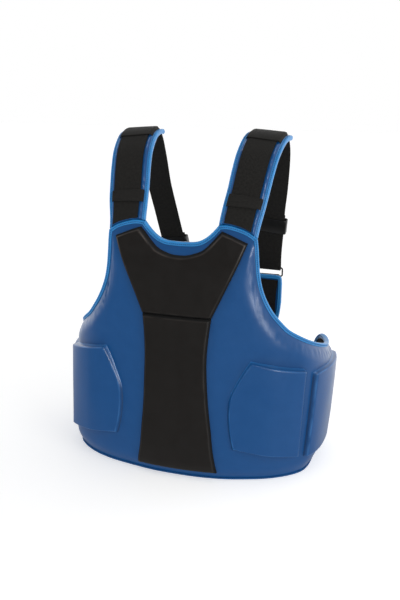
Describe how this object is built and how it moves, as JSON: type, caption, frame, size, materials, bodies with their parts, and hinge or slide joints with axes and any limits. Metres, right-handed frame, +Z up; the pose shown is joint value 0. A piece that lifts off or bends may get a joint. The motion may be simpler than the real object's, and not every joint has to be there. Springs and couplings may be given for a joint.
{
  "type": "torso protector",
  "caption": "Padded torso guard that wraps the front and sides of the body, with raised chest and side pads, shoulder straps and a small back pad",
  "frame": {"origin": "centre of the bounding box on the floor that the lower edge stands on", "axes": "+Z up; the chest faces -Y; +X is the right side as seen from the front"},
  "size_m": [0.494, 0.2962, 0.5868],
  "materials": {
    "blue_leather": "padded synthetic leather, semi-gloss",
    "black_leather": "padded synthetic leather, satin",
    "edge_tape": "folded coated tape, satin",
    "lining": "woven lining cloth, matt",
    "webbing": "ribbed woven webbing, matt",
    "keeper": "thin synthetic leather band, satin",
    "plastic": "moulded plastic, satin"
  },
  "bodies": {
    "root": {"shell": "blue_leather", "shell_lining": "lining", "neck_binding": "edge_tape", "shoulder_binding_left": "edge_tape", "shoulder_binding_right": "edge_tape", "armhole_binding_left": "edge_tape", "armhole_binding_right": "edge_tape", "bottom_binding": "edge_tape", "chest_yoke": "black_leather", "chest_column": "black_leather", "side_pad_left": "blue_leather", "side_pad_right": "blue_leather", "rear_pad_left": "blue_leather", "rear_pad_right": "blue_leather", "shoulder_strap_left": "blue_leather", "shoulder_strap_right": "blue_leather", "strap_binding_left": "edge_tape", "strap_binding_right": "edge_tape", "shoulder_webbing_left": "webbing", "shoulder_webbing_right": "webbing", "keeper_lower_left": "keeper", "keeper_lower_right": "keeper", "keeper_upper_left": "keeper", "keeper_upper_right": "keeper", "slider_left": "plastic", "slider_right": "plastic", "back_pad": "blue_leather", "back_lining": "lining", "back_binding": "edge_tape", "ring_left": "plastic", "ring_right": "plastic", "ring_loop_left": "webbing", "ring_loop_right": "webbing", "waist_strap": "webbing"}
  },
  "joints": []
}
